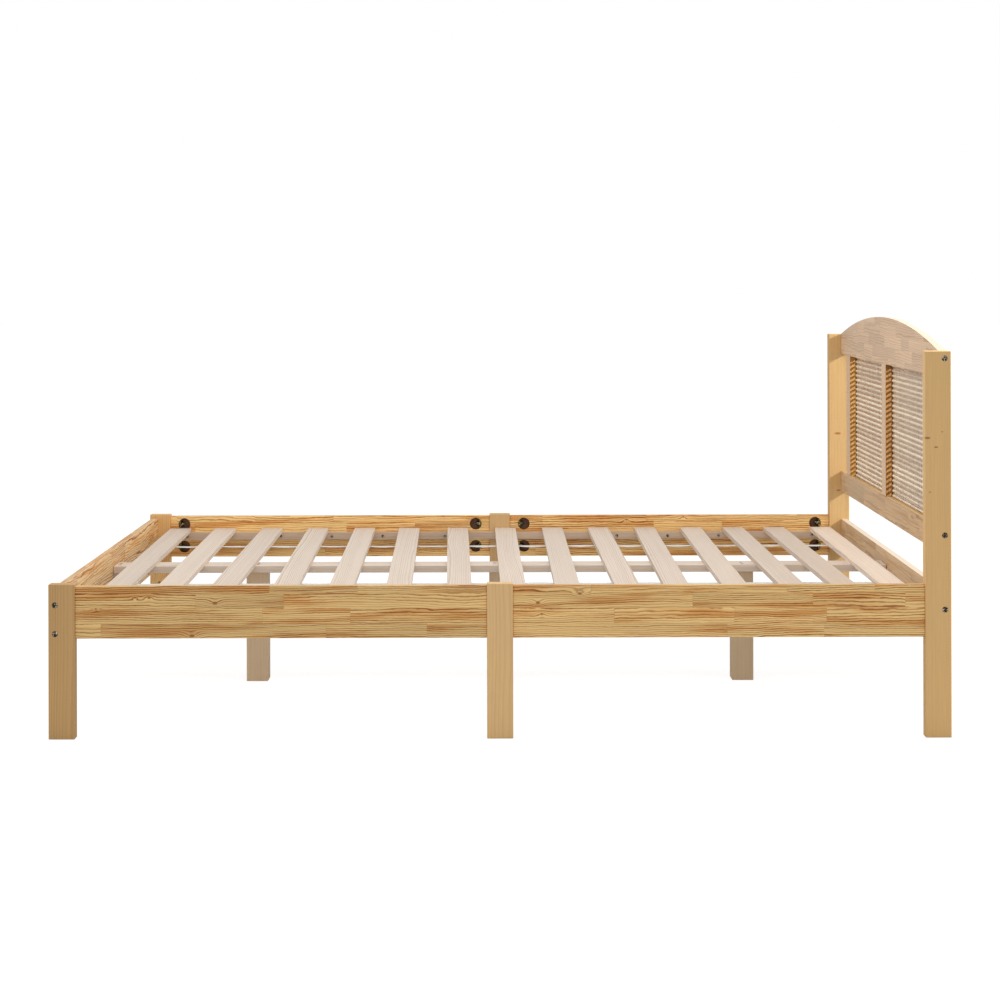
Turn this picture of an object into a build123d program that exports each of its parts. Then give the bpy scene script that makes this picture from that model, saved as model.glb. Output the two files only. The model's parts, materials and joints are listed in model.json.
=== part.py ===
"""A slatted double bed in solid pine with a rattan-panelled headboard, in millimetres.

The frame stands on six legs at its sides and three under its middle beam. +X runs along the bed to
the headboard, +Z is up, and +Y is on the left of someone who stands at the foot and faces the
headboard. The origin is on the floor, under the middle of the bed.
"""

from build123d import *
from math import atan, degrees
import os

# Overall plan of the bed
bed_length = 2068.0
bed_width = 1450.0

# Posts and side legs, all cut from one stock
post_width = 60.0
post_depth = 30.0
foot_post_height = 355.0
head_post_height = 885.0

# Frame rails
board_thickness = 18.0
rail_setback = 6.0
side_rail_height = 120.0
side_rail_drop = 5.0
foot_rail_height = 150.0
foot_rail_drop = 10.0
head_rail_height = 100.0
head_rail_drop = 17.0

# Headboard frame
arch_end_height = 60.0
arch_rise = 63.0
lower_rail_bottom = 420.0
lower_rail_height = 60.0
stile_width = 60.0
stile_to_post = 100.0
mullion_width = 60.0
tenon_length = 20.0
tenon_thickness = 6.0
tenon_shoulder = 10.0

# Rattan sheets and the battens that hold them
sheet_lap = 15.0
sheet_thickness = 2.0
rib_pitch = 13.2
rib_height = 5.0
strand_width = 3.0
bays_across = 4
batten_width = 20.0
batten_thickness = 4.0

# Slats, the cleats under their ends and the straps that space them
deck_drop = 35.0
slat_width = 60.0
slat_thickness = 12.0
slat_pitch = 135.0
slat_end_gap = 1.0

# The slats lie loose, so the photo shows each one a little off its even place, from the foot to the head
right_drift = (29, 19, 11, 28, 27, 31, 42, 35, 29, 40, 20, 27, 32, 22, 2)
left_drift = (3, 0, 4, 4, 7, 3, 11, 16, 20, 20, 22, 23, 12, -2, 1)
cleat_width = 25.0
cleat_height = 20.0
strap_width = 20.0
strap_thickness = 1.0
strap_inset = 362.0
strap_sag = 2.0

# Middle beam, its legs and its end blocks
beam_width = 80.0
centre_leg_width = 56.0
centre_leg_spacing = 635.0
beam_end_gap = 1.0
beam_block_height = 40.0

# Sides of the fasteners and of their holes, few because they are many and mostly hidden
shank_sides = 8
head_sides = 12
washer_sides = 20

# Bolted joints
bolt_size = 8.0
bolt_head_size = 13.0
bolt_head_height = 8.0
hex_key = 6.0
hex_key_depth = 4.0
counterbore_depth = 9.0
hole_clearance = 0.2
rail_bolt_low = 30.0
rail_bolt_high = 24.0
cross_bolt_drop = 18.5
bolt_past_nut = 4.0
bolt_tip_gap = 1.0
pocket_size = 35.0
pocket_floor_gap = 0.5
pocket_inset = 41.0
washer_thickness = 7.0
nut_flats = 13.0
nut_height = 6.5
barrel_size = 12.0
barrel_length = 14.0
barrel_inset = 35.0
headboard_bolt_drop = 17.0

# Dowels beside the single bolts
dowel_size = 8.0
dowel_in_post = 14.0
dowel_in_rail = 24.0
dowel_rise = 17.0

# Countersunk screws down through the beam
screw_size = 5.0
screw_head_size = 10.0
screw_length = 50.0
screw_from_joint = 14.0
screw_spread = 24.0

# Places that follow from the sizes above
half_length = bed_length / 2
half_width = bed_width / 2
half_post = post_width / 2
rail_outer_y = half_width - rail_setback
rail_inner_y = rail_outer_y - board_thickness
rail_middle_y = rail_outer_y - board_thickness / 2
rail_start_x = half_length - post_width
side_rail_top = foot_post_height - side_rail_drop
side_rail_bottom = side_rail_top - side_rail_height
end_rail_outer_x = half_length - rail_setback
end_rail_inner_x = end_rail_outer_x - board_thickness
end_rail_middle_x = end_rail_outer_x - board_thickness / 2
end_rail_half = half_width - post_depth
foot_rail_top = foot_post_height - foot_rail_drop
head_rail_top = foot_post_height - head_rail_drop
head_rail_bottom = head_rail_top - head_rail_height
arch_bottom = head_post_height - arch_end_height
lower_rail_top = lower_rail_bottom + lower_rail_height
stile_outer_y = end_rail_half - stile_to_post
stile_inner_y = stile_outer_y - stile_width
opening_height = arch_bottom - lower_rail_top
opening_width = stile_inner_y - mullion_width / 2
slat_top = side_rail_top - deck_drop
slat_bottom = slat_top - slat_thickness
slat_half_length = end_rail_half - slat_end_gap
cleat_bottom = slat_bottom - cleat_height
beam_bottom = slat_bottom - board_thickness
strap_y = half_width - strap_inset
pocket_depth = board_thickness / 2 + nut_flats / 2 + pocket_floor_gap
bolt_radius = bolt_size / 2
head_radius = bolt_head_size / 2
barrel_radius = barrel_size / 2
dowel_radius = dowel_size / 2
side_bolt_heights = (side_rail_bottom + rail_bolt_low, side_rail_top - rail_bolt_high)
foot_bolt_heights = [height - cross_bolt_drop for height in side_bolt_heights]
head_bolt_height = sum(side_bolt_heights) / 2
arch_bolt_height = head_post_height - headboard_bolt_drop
lower_bolt_height = lower_rail_top - headboard_bolt_drop
head_dowel_height = (head_bolt_height + side_bolt_heights[1]) / 2
arch_dowel_height = arch_bottom + dowel_rise
lower_dowel_height = lower_rail_bottom + dowel_rise
slat_count = int((2 * end_rail_inner_x - slat_width) / slat_pitch) + 1
slat_places = [slat_pitch * (i - (slat_count - 1) / 2) for i in range(slat_count)]
slat_runs = []
for i, place in enumerate(slat_places):
    right = right_drift[i % len(right_drift)]
    left = left_drift[i % len(left_drift)]
    slope = (left - right) / (2 * slat_half_length)
    slat_runs.append((place + (left + right) / 2, slope))
sides = {"right": -1, "left": 1}
ends = {"foot": -1, "head": 1}


def block(x0, x1, y0, y1, z0, z1):
    """A square-edged piece between two corners, given in any order."""
    box = Box(abs(x1 - x0), abs(y1 - y0), abs(z1 - z0))
    return Pos((x0 + x1) / 2, (y0 + y1) / 2, (z0 + z1) / 2) * box


def bar(start, stop, radius, side_count=shank_sides):
    """A straight bar between two points, its edges on the circle of the real round one."""
    way = Vector(*stop) - Vector(*start)
    return Plane(origin=start, z_dir=way) * extrude(RegularPolygon(radius, side_count), way.length)


def hole(start, stop, radius, side_count=shank_sides):
    """The hole between two points for a bar of that radius, its sides clear of the bar's circle."""
    way = Vector(*stop) - Vector(*start)
    outline = RegularPolygon(radius + hole_clearance, side_count, major_radius=False)
    return Plane(origin=start, z_dir=way) * extrude(outline, way.length)


def cut(piece, holes):
    """The piece less a list of holes, if it has any."""
    return piece - holes if holes else piece


def group(solids):
    """Several separate solids of one kind, kept together as one sub-part."""
    return Compound(children=list(solids))


# Where each bolt goes. Side bolts run along X through a post into a side rail, and cross bolts run
# along Y through a post into an end rail.
cross_bolts = {
    "foot": [(-end_rail_middle_x, z) for z in foot_bolt_heights],
    "head": [(end_rail_middle_x, head_bolt_height)],
    "lower": [(end_rail_middle_x, lower_bolt_height)],
    "arch": [(end_rail_middle_x, arch_bolt_height)],
}
cross_dowels = {
    "foot": [],
    "head": [(end_rail_middle_x, head_dowel_height)],
    "lower": [(end_rail_middle_x, lower_dowel_height)],
    "arch": [(end_rail_middle_x, arch_dowel_height)],
}
rails_at_end = {"foot": ("foot",), "head": ("head", "lower", "arch")}


def post_side_holes(end, side):
    """Counterbored holes along X for the two side bolts of one corner post."""
    y = side * rail_middle_y
    outer = end * half_length
    seat = end * (half_length - counterbore_depth)
    inner = end * rail_start_x
    holes = []
    for z in side_bolt_heights:
        holes.append(hole((seat, y, z), (inner, y, z), bolt_radius))
        holes.append(hole((outer, y, z), (seat, y, z), head_radius, head_sides))
    return holes


def post_cross_holes(end_name, side):
    """Counterbored bolt holes along Y and blind dowel holes in one corner post."""
    outer = side * half_width
    inner = side * end_rail_half
    seat = side * (half_width - counterbore_depth)
    dowel_end = side * (end_rail_half + dowel_in_post + hole_clearance)
    holes = []
    for rail in rails_at_end[end_name]:
        for x, z in cross_bolts[rail]:
            holes.append(hole((x, seat, z), (x, inner, z), bolt_radius))
            holes.append(hole((x, outer, z), (x, seat, z), head_radius, head_sides))
        for x, z in cross_dowels[rail]:
            holes.append(hole((x, inner, z), (x, dowel_end, z), dowel_radius))
    return holes


def corner_post(end_name, side):
    """One of the four corner posts; the two at the head run up to the arch."""
    end = ends[end_name]
    height = {"foot": foot_post_height, "head": head_post_height}[end_name]
    post = block(end * half_length, end * rail_start_x, side * half_width, side * end_rail_half, 0, height)
    return cut(post, post_side_holes(end, side) + post_cross_holes(end_name, side))


def middle_leg(side):
    """The leg between the two half rails of one side, drilled for its two studs."""
    leg = block(-half_post, half_post, side * half_width, side * end_rail_half, 0, foot_post_height)
    y = side * rail_middle_y
    return cut(leg, [hole((-half_post, y, z), (half_post, y, z), bolt_radius) for z in side_bolt_heights])


def rail_joints():
    """The two ends of a half side rail, each as its place along X and the way into the rail."""
    return ((rail_start_x, -1), (half_post, 1))


def pocket(x, side, z):
    """The round pocket bored from a side rail's inner face for one washer and nut."""
    middle = side * (rail_inner_y + pocket_depth / 2)
    return Pos(x, middle, z) * Rot(90, 0, 0) * Cylinder(pocket_size / 2, pocket_depth)


def side_rail(end, side):
    """Half of a side rail, with a bolt hole in each end that opens into a round pocket."""
    rail = block(
        end * half_post,
        end * rail_start_x,
        side * rail_inner_y,
        side * rail_outer_y,
        side_rail_bottom,
        side_rail_top,
    )
    holes = []
    y = side * rail_middle_y
    for start, into in rail_joints():
        middle = end * (start + into * pocket_inset)
        for z in side_bolt_heights:
            holes.append(pocket(middle, side, z))
            holes.append(hole((end * start, y, z), (middle, y, z), bolt_radius))
    return cut(rail, holes)


def end_rail_holes(rail):
    """Bolt, barrel nut and dowel holes in both ends of a cross rail, the nuts' from its outer face."""
    holes = []
    for side in sides.values():
        end_y = side * end_rail_half
        nut_y = side * (end_rail_half - barrel_inset)
        bolt_end = side * (end_rail_half - barrel_inset - barrel_radius - bolt_past_nut)
        dowel_end = side * (end_rail_half - dowel_in_rail - hole_clearance)
        for x, z in cross_bolts[rail]:
            face, floor = barrel_span(x)
            holes.append(hole((x, end_y, z), (x, bolt_end, z), bolt_radius))
            holes.append(hole((face, nut_y, z), (floor, nut_y, z), barrel_radius))
        for x, z in cross_dowels[rail]:
            holes.append(hole((x, end_y, z), (x, dowel_end, z), dowel_radius))
    return holes


def barrel_span(x):
    """A cross rail's outer face and the floor of its barrel nut holes, as places along X."""
    outward = 1 if x > 0 else -1
    face = x + outward * board_thickness / 2
    return face, face - outward * (barrel_length + 2 * hole_clearance)


def foot_rail():
    """The plain board between the two foot posts."""
    rail = block(
        -end_rail_outer_x,
        -end_rail_inner_x,
        -end_rail_half,
        end_rail_half,
        foot_rail_top - foot_rail_height,
        foot_rail_top,
    )
    return cut(rail, end_rail_holes("foot"))


def head_rail():
    """The board between the two head posts, level with the side rails."""
    rail = block(
        end_rail_inner_x,
        end_rail_outer_x,
        -end_rail_half,
        end_rail_half,
        head_rail_bottom,
        head_rail_top,
    )
    return cut(rail, end_rail_holes("head"))


def upright_places():
    """The headboard's uprights, as the middle and width of each along Y."""
    stile_middle = (stile_outer_y + stile_inner_y) / 2
    return {
        "stile_right": (-stile_middle, stile_width),
        "mullion": (0.0, mullion_width),
        "stile_left": (stile_middle, stile_width),
    }


def tenon(middle, width, z, way, clearance):
    """The tongue at one end of an upright, or with a clearance the mortise it fits."""
    half = width / 2 - tenon_shoulder + clearance
    thick = tenon_thickness / 2 + clearance
    tip = z + way * (tenon_length + clearance)
    x = end_rail_middle_x
    return block(x - thick, x + thick, middle - half, middle + half, z, tip)


def mortises(z, way):
    """The three mortises along one edge of a headboard rail."""
    return [tenon(y, width, z, way, hole_clearance) for y, width in upright_places().values()]


def arch_rail():
    """The top rail: straight below, and one shallow arc from post to post above."""
    left = (-end_rail_half, arch_bottom)
    right = (end_rail_half, arch_bottom)
    left_top = (-end_rail_half, head_post_height)
    right_top = (end_rail_half, head_post_height)
    crown = (0, head_post_height + arch_rise)
    outline = Wire(
        [
            Line(left, right),
            Line(right, right_top),
            ThreePointArc(right_top, crown, left_top),
            Line(left_top, left),
        ]
    )
    face = Plane.YZ.offset(end_rail_inner_x) * Face(outline)
    rail = extrude(face, board_thickness)
    return cut(rail, end_rail_holes("arch") + mortises(arch_bottom, 1))


def lower_rail():
    """The rail under the rattan."""
    rail = block(
        end_rail_inner_x,
        end_rail_outer_x,
        -end_rail_half,
        end_rail_half,
        lower_rail_bottom,
        lower_rail_top,
    )
    return cut(rail, end_rail_holes("lower") + mortises(lower_rail_top, -1))


def upright(middle, width):
    """A stile or the mullion, tenoned into the rail above and the rail below."""
    body = block(
        end_rail_inner_x,
        end_rail_outer_x,
        middle - width / 2,
        middle + width / 2,
        lower_rail_top,
        arch_bottom,
    )
    tongues = [tenon(middle, width, arch_bottom, 1, 0), tenon(middle, width, lower_rail_top, -1, 0)]
    return body + tongues


def bay_heights():
    """The middle height of each row of open bays in the rattan, evenly about the opening's middle."""
    count = int(opening_height / rib_pitch)
    middle = (lower_rail_top + arch_bottom) / 2
    return [middle + rib_pitch * (i - (count - 1) / 2) for i in range(count)]


def rattan_panel(side):
    """A rattan sheet behind one opening, as one holed face: ribs across it and strands down it."""
    near = side * (mullion_width / 2)
    width = opening_width + 2 * sheet_lap
    height = opening_height + 2 * sheet_lap
    middle_y = near + side * opening_width / 2
    middle_z = (lower_rail_top + arch_bottom) / 2
    bay_width = (opening_width - (bays_across - 1) * strand_width) / bays_across
    columns = [(bay_width + strand_width) * (i - (bays_across - 1) / 2) for i in range(bays_across)]
    bay = Rectangle(bay_width, rib_pitch - rib_height)
    face = Rectangle(width, height) - [Pos(y, z - middle_z) * bay for y in columns for z in bay_heights()]
    return Plane.YZ.offset(end_rail_outer_x) * Pos(middle_y, middle_z) * extrude(face, sheet_thickness)


def panel_battens(side):
    """Four thin strips that press the margin of one rattan sheet to the back of the frame."""
    x0 = end_rail_outer_x + sheet_thickness
    x1 = x0 + batten_thickness
    near = side * (mullion_width / 2 - sheet_lap)
    far = side * (stile_inner_y + sheet_lap)
    low = lower_rail_top - sheet_lap
    high = arch_bottom + sheet_lap
    inner_near = near + side * batten_width
    inner_far = far - side * batten_width
    return group(
        [
            block(x0, x1, near, far, low, low + batten_width),
            block(x0, x1, near, far, high - batten_width, high),
            block(x0, x1, near, inner_near, low + batten_width, high - batten_width),
            block(x0, x1, inner_far, far, low + batten_width, high - batten_width),
        ]
    )


def slat_cleat(end, side):
    """The ledge for the slat ends of one half rail, notched round the middle leg."""
    inner = rail_inner_y - cleat_width
    cleat = block(0, end * rail_start_x, side * inner, side * rail_inner_y, cleat_bottom, slat_bottom)
    notch = block(0, end * half_post, side * end_rail_half, side * rail_inner_y, cleat_bottom, slat_bottom)
    return cut(cleat, [notch])


def slat(x, slope):
    """One slat, laid a little askew across the cleats and the beam."""
    half = slat_width / 2
    board = block(-half, half, -slat_half_length, slat_half_length, slat_bottom, slat_top)
    return Pos(x, 0, 0) * Rot(0, 0, -degrees(atan(slope))) * board


def strap_line(places, z):
    """A line along every slat at one height, dipping between each slat and the next."""
    half = slat_width / 2
    line = [Line((x - half, z), (x + half, z)) for x in places]
    for here, there in zip(places, places[1:]):
        dip = ((here + there) / 2, z - strap_sag)
        line.append(ThreePointArc((here + half, z), dip, (there - half, z)))
    return line


def slat_strap(side):
    """A webbing strap under every slat, a little slack between one and the next."""
    low = slat_bottom - strap_thickness
    middle = side * strap_y
    places = [x + slope * middle for x, slope in slat_runs]
    tips = (places[0] - slat_width / 2, places[-1] + slat_width / 2)
    caps = [Line((x, low), (x, slat_bottom)) for x in tips]
    outline = Wire(strap_line(places, slat_bottom) + strap_line(places, low) + caps)
    near_edge = Plane.XZ.offset(strap_width / 2 - middle)
    return extrude(near_edge * Face(outline), strap_width, dir=(0, 1, 0))


def leg_places():
    """The three centre legs along X."""
    return {"foot": -centre_leg_spacing, "middle": 0.0, "head": centre_leg_spacing}


def beam_screw_places():
    """Each beam screw as its place in plan, two to every leg or block that a half beam crosses."""
    along = [end * centre_leg_spacing for end in ends.values()]
    along += [end * screw_from_joint for end in ends.values()]
    along += [end * (end_rail_inner_x - cleat_width / 2) for end in ends.values()]
    return [(x, y) for x in along for y in (-screw_spread / 2, screw_spread / 2)]


def screw(x, y):
    """A countersunk screw flush with the top of the beam."""
    sink = (screw_head_size - screw_size) / 2
    head = extrude(RegularPolygon(screw_head_size / 2, shank_sides), -sink, taper=45)
    shank = extrude(RegularPolygon(screw_size / 2, shank_sides), -screw_length)
    return Pos(x, y, slat_bottom) * (head + shank)


def screw_hole(x, y, top):
    """The countersunk hole for a beam screw, or below the beam its plain hole."""
    sink = (screw_head_size - screw_size) / 2
    shank = hole((x, y, slat_bottom), (x, y, slat_bottom - screw_length - hole_clearance), screw_size / 2)
    if top < slat_bottom:
        return shank
    mouth = RegularPolygon(screw_head_size / 2 + 2 * hole_clearance, shank_sides, major_radius=False)
    return shank + Pos(x, y, slat_bottom) * extrude(mouth, -sink - 2 * hole_clearance, taper=45)


def beam_half(end):
    """Half of the middle beam, from an end rail to the middle leg."""
    outer = end * (end_rail_inner_x - beam_end_gap)
    beam = block(0, outer, -beam_width / 2, beam_width / 2, beam_bottom, slat_bottom)
    places = [place for place in beam_screw_places() if place[0] * end > 0]
    return cut(beam, [screw_hole(x, y, slat_bottom) for x, y in places])


def centre_leg(x):
    """A square leg under the beam."""
    half = centre_leg_width / 2
    leg = block(x - half, x + half, -half, half, 0, beam_bottom)
    places = [place for place in beam_screw_places() if abs(place[0] - x) < half]
    return cut(leg, [screw_hole(screw_x, screw_y, beam_bottom) for screw_x, screw_y in places])


def beam_block(end):
    """The block on an end rail that carries one end of the beam."""
    outer = end * end_rail_inner_x
    inner = end * (end_rail_inner_x - cleat_width)
    low = beam_bottom - beam_block_height
    seat = block(outer, inner, -beam_width / 2, beam_width / 2, low, beam_bottom)
    places = [place for place in beam_screw_places() if abs(place[0] - (outer + inner) / 2) < cleat_width / 2]
    return cut(seat, [screw_hole(x, y, beam_bottom) for x, y in places])


def bolt(seat, tip):
    """A socket-head bolt from the seat of its head to its tip."""
    way = (Vector(*seat) - Vector(*tip)).normalized()
    top = Vector(*seat) + way * bolt_head_height
    key_floor = top - way * hex_key_depth
    head = bar(tuple(seat), tuple(top), head_radius, head_sides)
    key = bar(tuple(key_floor), tuple(top), hex_key / 2, 6)
    return head + bar(tuple(seat), tuple(tip), bolt_radius) - key


def pocket_wall():
    """How far a pocket's nearest wall lies inside the end of its rail."""
    return pocket_inset - pocket_size / 2


def nut_face():
    """How far the flat of a washer lies inside the end of its rail."""
    return pocket_wall() + washer_thickness


def side_bolts():
    """The eight long bolts through the corner posts into the side rails."""
    seat = half_length - counterbore_depth
    tip = rail_start_x - nut_face() - nut_height - bolt_past_nut
    return group(
        bolt((end * seat, side * rail_middle_y, z), (end * tip, side * rail_middle_y, z))
        for end in ends.values()
        for side in sides.values()
        for z in side_bolt_heights
    )


def middle_studs():
    """The four threaded studs through the middle legs, with a rail on each side."""
    reach = half_post + nut_face() + nut_height + bolt_past_nut
    return group(
        bar((-reach, side * rail_middle_y, z), (reach, side * rail_middle_y, z), bolt_radius)
        for side in sides.values()
        for z in side_bolt_heights
    )


def pocket_joints():
    """Every pocket, as its rail end along X, the way into the rail, its side and its height."""
    return [
        (end * start, end * into, side, z)
        for end in ends.values()
        for side in sides.values()
        for start, into in rail_joints()
        for z in side_bolt_heights
    ]


def half_moon_washers():
    """A washer in each pocket: round against the pocket wall and flat to the nut."""
    radius = pocket_size / 2 - hole_clearance
    washers = []
    for start, into, side, z in pocket_joints():
        y = side * rail_middle_y
        flat = start + into * nut_face()
        x = start + into * pocket_inset
        edge = nut_flats / 2
        disc = bar((x, y - edge, z), (x, y + edge, z), radius, washer_sides)
        near_wall = block(start, flat, y - nut_flats, y + nut_flats, z - radius, z + radius)
        washers.append((disc & near_wall) - hole((start, y, z), (flat, y, z), bolt_radius))
    return group(washers)


def hex_nuts():
    """A nut against the flat of each washer."""
    nuts = []
    for start, into, side, z in pocket_joints():
        y = side * rail_middle_y
        near = (start + into * nut_face(), y, z)
        far = (start + into * (nut_face() + nut_height), y, z)
        body = bar(near, far, nut_flats / 3**0.5, 6)
        nuts.append(body - hole(near, far, bolt_radius))
    return group(nuts)


def cross_bolt_group(rails):
    """The bolts through the posts into the ends of the cross rails named."""
    seat = half_width - counterbore_depth
    tip = end_rail_half - barrel_inset - barrel_radius - bolt_past_nut + bolt_tip_gap
    return group(
        bolt((x, side * seat, z), (x, side * tip, z))
        for side in sides.values()
        for rail in rails
        for x, z in cross_bolts[rail]
    )


def barrel_nuts():
    """The round cross nuts that the cross bolts screw into."""
    nuts = []
    for side in sides.values():
        y = side * (end_rail_half - barrel_inset)
        for places in cross_bolts.values():
            for x, z in places:
                face, floor = barrel_span(x)
                inward = hole_clearance if floor > face else -hole_clearance
                nut = bar((face + inward, y, z), (floor - inward, y, z), barrel_radius)
                across = hole((x, y - barrel_size, z), (x, y + barrel_size, z), bolt_radius)
                nuts.append(nut - across)
    return group(nuts)


def rail_dowels():
    """The wooden dowels beside the bolts of the three rails at the head."""
    outer = end_rail_half + dowel_in_post
    inner = end_rail_half - dowel_in_rail
    return group(
        bar((x, side * outer, z), (x, side * inner, z), dowel_radius)
        for side in sides.values()
        for places in cross_dowels.values()
        for x, z in places
    )


def beam_screws():
    """The screws that hold the beam to its legs and blocks."""
    return group(screw(x, y) for x, y in beam_screw_places())


def all_parts():
    """Every sub-part of the bed by its name."""
    parts = {}
    for name, side in sides.items():
        parts["foot_post_" + name] = corner_post("foot", side)
        parts["head_post_" + name] = corner_post("head", side)
        parts["middle_leg_" + name] = middle_leg(side)
        parts["rattan_panel_" + name] = rattan_panel(side)
        parts["panel_battens_" + name] = panel_battens(side)
        parts["slat_strap_" + name] = slat_strap(side)
        for end_name, end in ends.items():
            parts["side_rail_" + name + "_" + end_name] = side_rail(end, side)
            parts["slat_cleat_" + name + "_" + end_name] = slat_cleat(end, side)
    parts["foot_rail"] = foot_rail()
    parts["head_rail"] = head_rail()
    parts["headboard_arch_rail"] = arch_rail()
    parts["headboard_lower_rail"] = lower_rail()
    for name, (middle, width) in upright_places().items():
        parts["headboard_" + name] = upright(middle, width)
    for number, (x, slope) in enumerate(slat_runs, 1):
        parts[f"slat_{number:02d}"] = slat(x, slope)
    for name, end in ends.items():
        parts["beam_" + name] = beam_half(end)
        parts["beam_block_" + name] = beam_block(end)
    for name, x in leg_places().items():
        parts["centre_leg_" + name] = centre_leg(x)
    parts["side_rail_bolts"] = side_bolts()
    parts["middle_leg_studs"] = middle_studs()
    parts["half_moon_washers"] = half_moon_washers()
    parts["hex_nuts"] = hex_nuts()
    parts["frame_cross_bolts"] = cross_bolt_group(("foot", "head"))
    parts["headboard_bolts"] = cross_bolt_group(("lower", "arch"))
    parts["barrel_nuts"] = barrel_nuts()
    parts["rail_dowels"] = rail_dowels()
    parts["beam_screws"] = beam_screws()
    return parts


os.makedirs("parts", exist_ok=True)
for node, shape in all_parts().items():
    export_step(shape, "parts/" + node + ".step")
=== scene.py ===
# %% [markdown]
# # A slatted pine bed with a rattan headboard
# The bed itself arrives as a finished frame: every board, bolt and nut at its real size, in metres, with the
# origin on the floor under the middle of the bed. +X runs to the headboard and +Z is up. This lesson gives that
# frame its looks. It softens the edges of the boards, gives them pine, weaves the rattan, and turns the fixings.

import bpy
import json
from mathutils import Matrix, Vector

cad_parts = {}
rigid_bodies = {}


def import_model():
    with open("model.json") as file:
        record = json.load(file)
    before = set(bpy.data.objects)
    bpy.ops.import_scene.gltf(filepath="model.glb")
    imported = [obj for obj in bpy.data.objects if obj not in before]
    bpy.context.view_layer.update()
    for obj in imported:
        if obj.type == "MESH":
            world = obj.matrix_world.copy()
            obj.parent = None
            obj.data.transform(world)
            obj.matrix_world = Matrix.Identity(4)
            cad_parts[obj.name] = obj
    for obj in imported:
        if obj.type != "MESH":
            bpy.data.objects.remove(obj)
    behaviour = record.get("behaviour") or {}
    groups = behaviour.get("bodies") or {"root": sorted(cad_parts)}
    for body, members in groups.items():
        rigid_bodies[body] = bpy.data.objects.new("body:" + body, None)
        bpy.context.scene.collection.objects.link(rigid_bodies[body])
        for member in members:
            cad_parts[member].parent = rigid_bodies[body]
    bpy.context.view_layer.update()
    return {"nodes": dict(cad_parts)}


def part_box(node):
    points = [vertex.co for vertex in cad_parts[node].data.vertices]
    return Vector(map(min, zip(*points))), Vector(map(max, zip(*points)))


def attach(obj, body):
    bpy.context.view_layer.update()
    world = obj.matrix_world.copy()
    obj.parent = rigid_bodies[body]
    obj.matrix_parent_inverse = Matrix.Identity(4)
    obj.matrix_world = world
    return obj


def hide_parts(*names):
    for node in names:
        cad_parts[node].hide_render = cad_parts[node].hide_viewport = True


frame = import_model()
nodes = frame["nodes"]

# %% [markdown]
# The rest of the lesson needs Blender's own modules, numpy for long lists of points, and one seeded source of
# chance, so that every run gives the same bed.

# %% Modules and a seeded source of chance
import json
import math
import random
from functools import partial

import bmesh
import bpy
import numpy as np
from mathutils import Vector

chance = random.Random(26)
scene = bpy.context.scene
MM = 0.001
print("lengths below are in metres, and", 12 * MM, "is the thickness of a slat")

# %% [markdown]
# ## The camera
# The bed is seen from its right side, from 5.6 m away and a little above the top of the headboard, which stands on
# the right. The lens is long and the camera looks level, which keeps the legs upright and parallel. To bring the bed
# down into the middle of the picture the lens is shifted, as on an architect's camera, and not tilted.

# %% Place the camera
lens = bpy.data.cameras.new("camera")
lens.sensor_width = 36.0
lens.lens = 76.51
lens.shift_x = 0.00095
lens.shift_y = -0.22452
camera = bpy.data.objects.new("camera", lens)
camera.location = (-0.0003, -5.5887, 1.0601)
camera.rotation_euler = (math.radians(90), 0.0023, 0)
scene.collection.objects.link(camera)
scene.camera = camera
print("camera", tuple(round(v, 3) for v in camera.location), "lens", lens.lens, "mm")

# %% [markdown]
# ## Small helpers for node trees
# A material is a tree of nodes. Writing each link by hand is long, so small functions do the typing: one adds a
# node, one puts a value or a link in a socket, one adds a sum, and so on. Every material here uses them.

# %% Helpers for nodes
def feed(tree, socket, value):
    """Links an output into a socket, or writes a plain value there."""
    if isinstance(value, bpy.types.NodeSocket):
        tree.links.new(value, socket)
    elif value is not None:
        socket.default_value = value


def add(tree, kind, *values, **settings):
    """Adds one shader node, sets it up and feeds its inputs in order."""
    made = tree.nodes.new("ShaderNode" + kind)
    for key, value in settings.items():
        setattr(made, key, value)
    for socket, value in zip(made.inputs, values):
        feed(tree, socket, value)
    return made


def calc(tree, operation, *values):
    """One sum on numbers, as an output to use in the next."""
    return add(tree, "Math", *values, operation=operation).outputs[0]


def vector_calc(tree, operation, *values):
    """One sum on vectors. A length comes from the node's second output."""
    made = add(tree, "VectorMath", *values, operation=operation)
    return made.outputs["Value" if operation == "LENGTH" else "Vector"]


def scale_axes(tree, vector, x, y, z):
    """Multiplies the three parts of a vector by their own numbers."""
    return vector_calc(tree, "MULTIPLY", vector, (x, y, z))


def smooth_step(tree, value, start, end):
    """0 before start, 1 after end and a smooth ramp between, in either direction."""
    made = add(tree, "MapRange", interpolation_type="SMOOTHSTEP")
    feed(tree, made.inputs["Value"], value)
    feed(tree, made.inputs["From Min"], start)
    feed(tree, made.inputs["From Max"], end)
    return made.outputs[0]


def ramp(tree, value, *stops):
    """A colour ramp between stops, each a place and a grey or a colour."""
    made = add(tree, "ValToRGB", value)
    points = made.color_ramp.elements
    while len(points) < len(stops):
        points.new(0.5)
    for point, (place, shade) in zip(points, stops):
        point.position = place
        point.color = (shade, shade, shade, 1) if isinstance(shade, (int, float)) else shade
    return made.outputs[0]


def mix_colour(tree, share, first, second):
    """Mixes two colours."""
    made = add(tree, "Mix", data_type="RGBA")
    colour_sockets = [s for s in made.inputs if s.type == "RGBA"]
    feed(tree, made.inputs["Factor"], share)
    feed(tree, colour_sockets[0], first)
    feed(tree, colour_sockets[1], second)
    return next(s for s in made.outputs if s.type == "RGBA")


def shade_colour(tree, colour, amount):
    """Makes a colour lighter or darker by a factor."""
    made = add(tree, "VectorMath", colour, operation="SCALE")
    feed(tree, made.inputs["Scale"], amount)
    return made.outputs["Vector"]


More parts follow.
